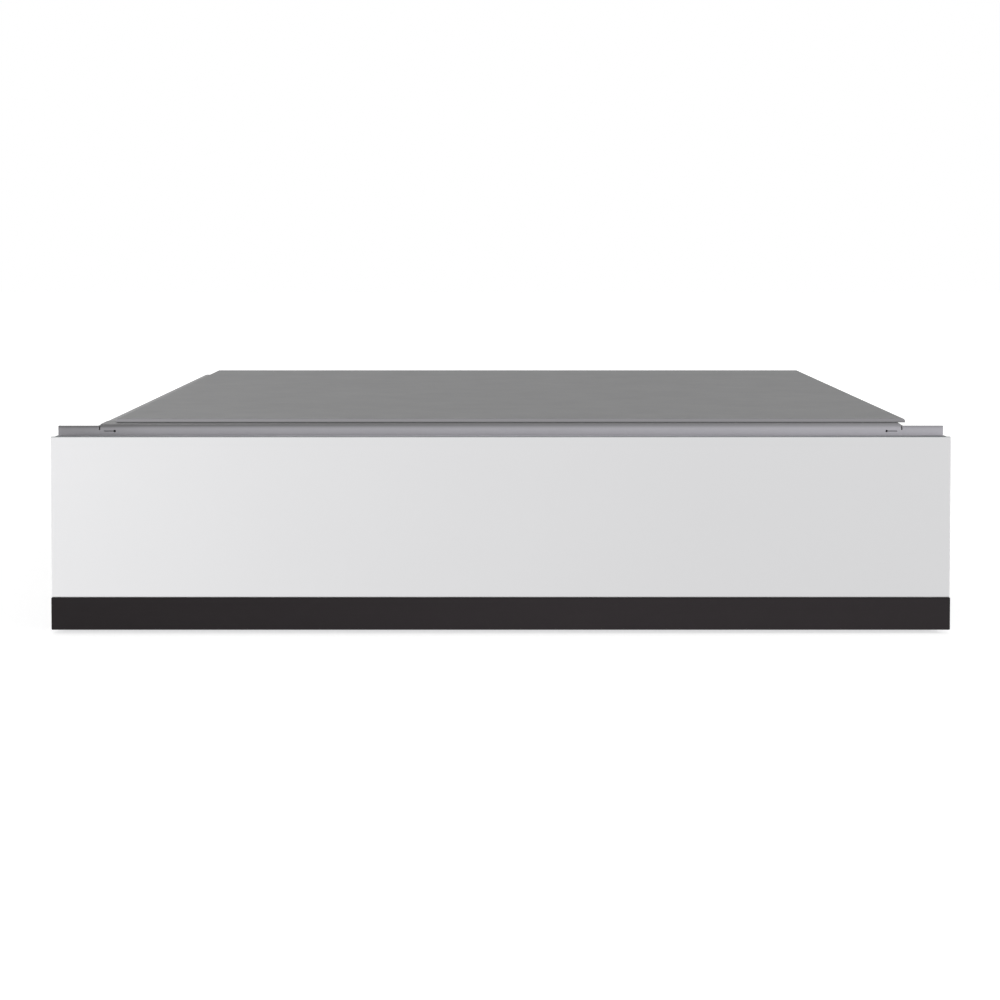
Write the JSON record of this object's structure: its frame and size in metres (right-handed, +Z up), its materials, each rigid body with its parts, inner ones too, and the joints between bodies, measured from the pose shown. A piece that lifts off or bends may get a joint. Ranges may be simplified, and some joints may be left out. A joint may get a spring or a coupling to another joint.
{
  "type": "built-in storage drawer",
  "caption": "Low sheet-steel drawer unit for a built-in niche, with a flat white glass front, black trim strip, grey top cover, ball runners and a push latch.",
  "frame": {"origin": "middle of the bounding box, at the base the casing stands on", "axes": "+X to the right seen from the front, +Y from the front into the niche, +Z up"},
  "size_m": [0.595, 0.545, 0.14],
  "materials": {
    "casing_grey": "satin grey paint on sheet steel",
    "frame_grey": "satin light grey paint on sheet steel",
    "cover_grey": "satin grey paint, fine texture",
    "zinc": "zinc-plated sheet",
    "screw_zinc": "zinc-plated screws",
    "ball_steel": "polished steel balls",
    "cage_steel": "thin zinc-plated strip",
    "buffer_rubber": "soft rubber",
    "stop_plastic": "natural moulded plastic",
    "latch_plastic": "grey moulded plastic",
    "magnet": "dark magnet",
    "spring_steel": "spring wire",
    "tray_steel": "anthracite powder coat on sheet steel",
    "mat_rubber": "ribbed anti-slip rubber",
    "front_white": "white back-printed glass",
    "tape": "foam tape",
    "strip_black": "black anodised strip"
  },
  "bodies": {
    "casing": {"casing_base": "casing_grey", "casing_left_side": "casing_grey", "casing_right_side": "casing_grey", "casing_back": "casing_grey", "front_frame": "frame_grey", "frame_buffers": "buffer_rubber", "casing_rivets": "screw_zinc", "top_cover": "cover_grey", "cover_stiffeners": "zinc", "cover_screws": "screw_zinc", "latch_housing": "latch_plastic", "latch_cap": "latch_plastic", "latch_screws": "screw_zinc", "latch_spring": "spring_steel", "runner_casing_screws": "screw_zinc", "left_runner_outer": "zinc", "right_runner_outer": "zinc", "left_runner_stop": "stop_plastic", "right_runner_stop": "stop_plastic"},
    "plunger": {"latch_plunger": "latch_plastic", "latch_magnet": "magnet"},
    "drawer": {"tray": "tray_steel", "tray_front": "tray_steel", "tray_back": "tray_steel", "striker_plate": "zinc", "striker_rivets": "screw_zinc", "anti_slip_mat": "mat_rubber", "front_carrier": "frame_grey", "front_inner_panel": "frame_grey", "front_stiffeners": "zinc", "front_screws": "screw_zinc", "front_glass": "front_white", "glass_tape": "tape", "trim_strip": "strip_black", "trim_clips": "spring_steel", "runner_tray_screws": "screw_zinc", "left_runner_inner": "zinc", "right_runner_inner": "zinc"},
    "left_runner_middle": {"left_runner_middle": "zinc"},
    "left_outer_cage": {"left_outer_cage": "cage_steel", "left_outer_balls": "ball_steel"},
    "left_inner_cage": {"left_inner_cage": "cage_steel", "left_inner_balls": "ball_steel"},
    "right_runner_middle": {"right_runner_middle": "zinc"},
    "right_outer_cage": {"right_outer_cage": "cage_steel", "right_outer_balls": "ball_steel"},
    "right_inner_cage": {"right_inner_cage": "cage_steel", "right_inner_balls": "ball_steel"}
  },
  "joints": [
    {"name": "latch_press", "type": "slide", "parent": "casing", "child": "plunger", "axis": [0, 1, 0], "range_m": [0, 0.002], "stiffness_N_per_m": 400, "springref_m": -0.014, "deforming": ["latch_spring"]},
    {"name": "drawer_slide", "type": "slide", "parent": "plunger", "child": "drawer", "axis": [0, -1, 0], "range_m": [0, 0.44]},
    {"name": "left_runner_middle_slide", "type": "slide", "parent": "casing", "child": "left_runner_middle", "axis": [0, -1, 0], "range_m": [0, 0.22]},
    {"name": "left_outer_cage_slide", "type": "slide", "parent": "casing", "child": "left_outer_cage", "axis": [0, -1, 0], "range_m": [0, 0.11]},
    {"name": "left_inner_cage_slide", "type": "slide", "parent": "casing", "child": "left_inner_cage", "axis": [0, -1, 0], "range_m": [0, 0.33]},
    {"name": "right_runner_middle_slide", "type": "slide", "parent": "casing", "child": "right_runner_middle", "axis": [0, -1, 0], "range_m": [0, 0.22]},
    {"name": "right_outer_cage_slide", "type": "slide", "parent": "casing", "child": "right_outer_cage", "axis": [0, -1, 0], "range_m": [0, 0.11]},
    {"name": "right_inner_cage_slide", "type": "slide", "parent": "casing", "child": "right_inner_cage", "axis": [0, -1, 0], "range_m": [0, 0.33]}
  ],
  "couplings": [
    {"joint": "left_runner_middle_slide", "follows": "drawer_slide", "ratio": 0.5},
    {"joint": "left_outer_cage_slide", "follows": "drawer_slide", "ratio": 0.25},
    {"joint": "left_inner_cage_slide", "follows": "drawer_slide", "ratio": 0.75},
    {"joint": "right_runner_middle_slide", "follows": "drawer_slide", "ratio": 0.5},
    {"joint": "right_outer_cage_slide", "follows": "drawer_slide", "ratio": 0.25},
    {"joint": "right_inner_cage_slide", "follows": "drawer_slide", "ratio": 0.75}
  ]
}
